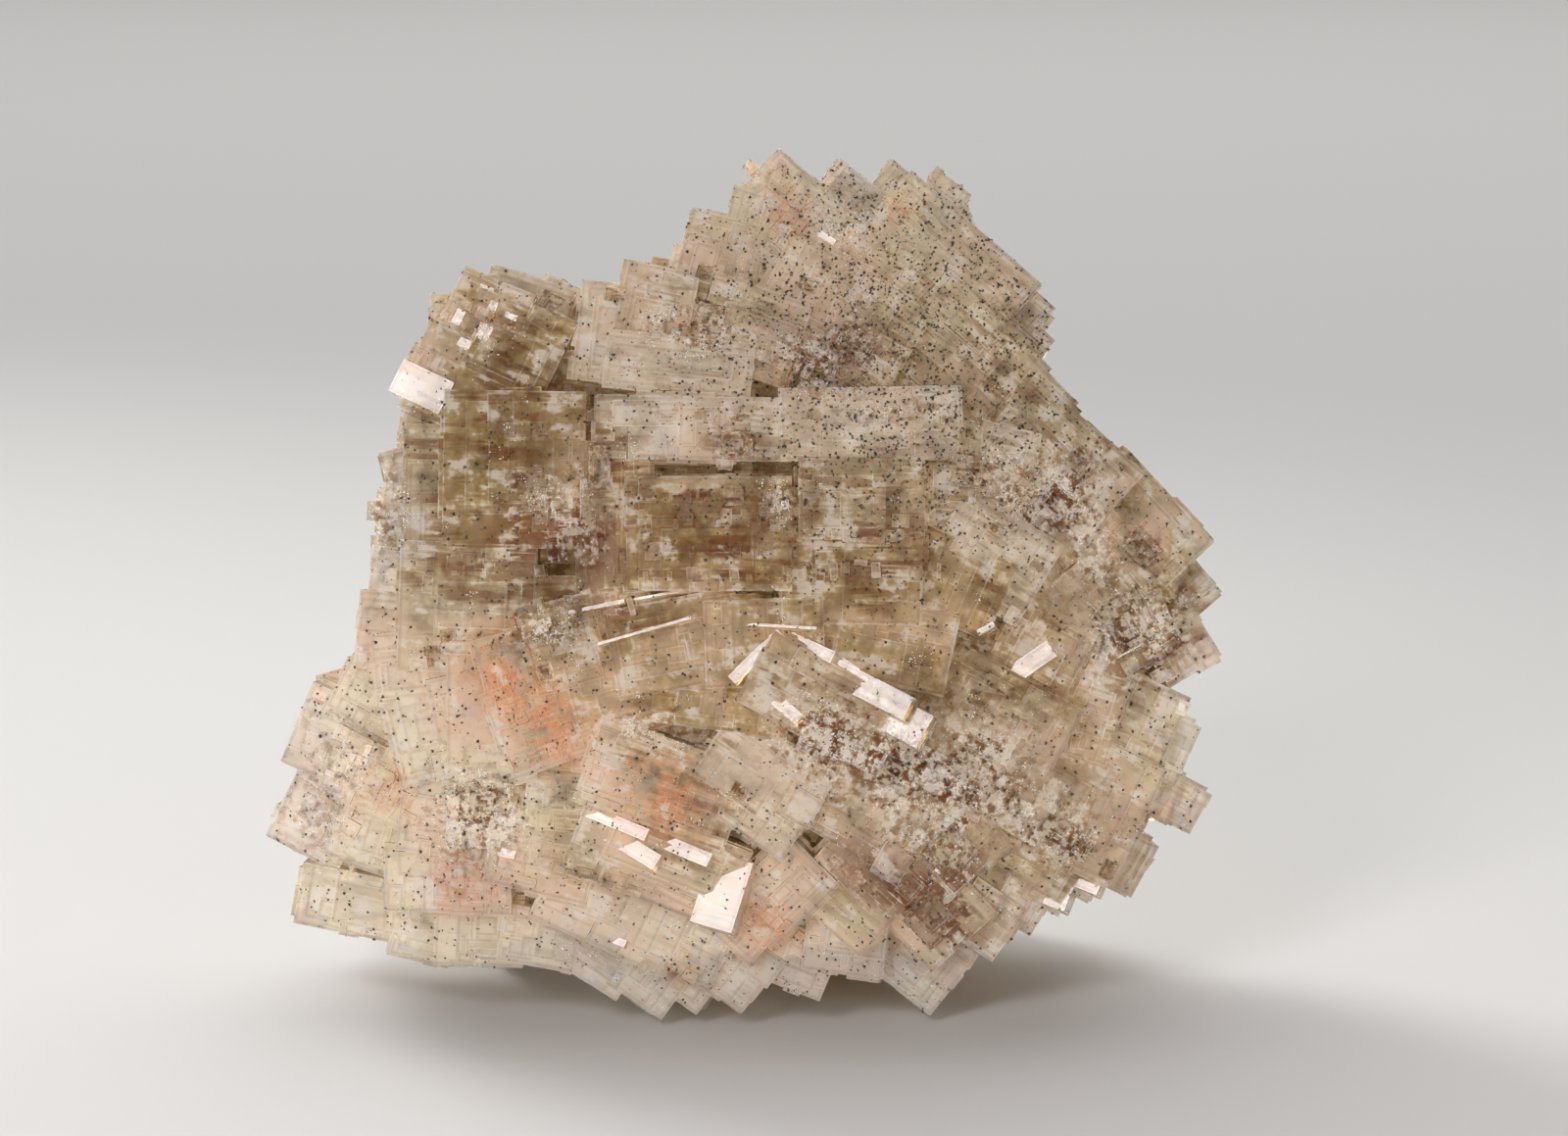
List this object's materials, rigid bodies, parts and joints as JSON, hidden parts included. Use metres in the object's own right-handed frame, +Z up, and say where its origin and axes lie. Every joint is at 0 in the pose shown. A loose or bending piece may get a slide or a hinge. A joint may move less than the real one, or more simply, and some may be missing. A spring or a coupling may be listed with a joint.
{
  "type": "fluorite crystal specimen",
  "caption": "Upright cluster of blocky, stepped fluorite cubes grown into each other, see-through tan to pink, standing on a trimmed flat.",
  "frame": {"origin": "middle of the bounding box at the height of the trimmed flat that it stands on", "axes": "+Z up, -Y out of the face seen in the picture, +X to the right in the picture"},
  "size_m": [0.0818, 0.0444, 0.0734],
  "materials": {
    "fluorite": "see-through milky tan fluorite, glassy on the cube faces, frosted in the pits"
  },
  "bodies": {
    "root": {"fluorite_cluster": "fluorite"}
  },
  "joints": []
}
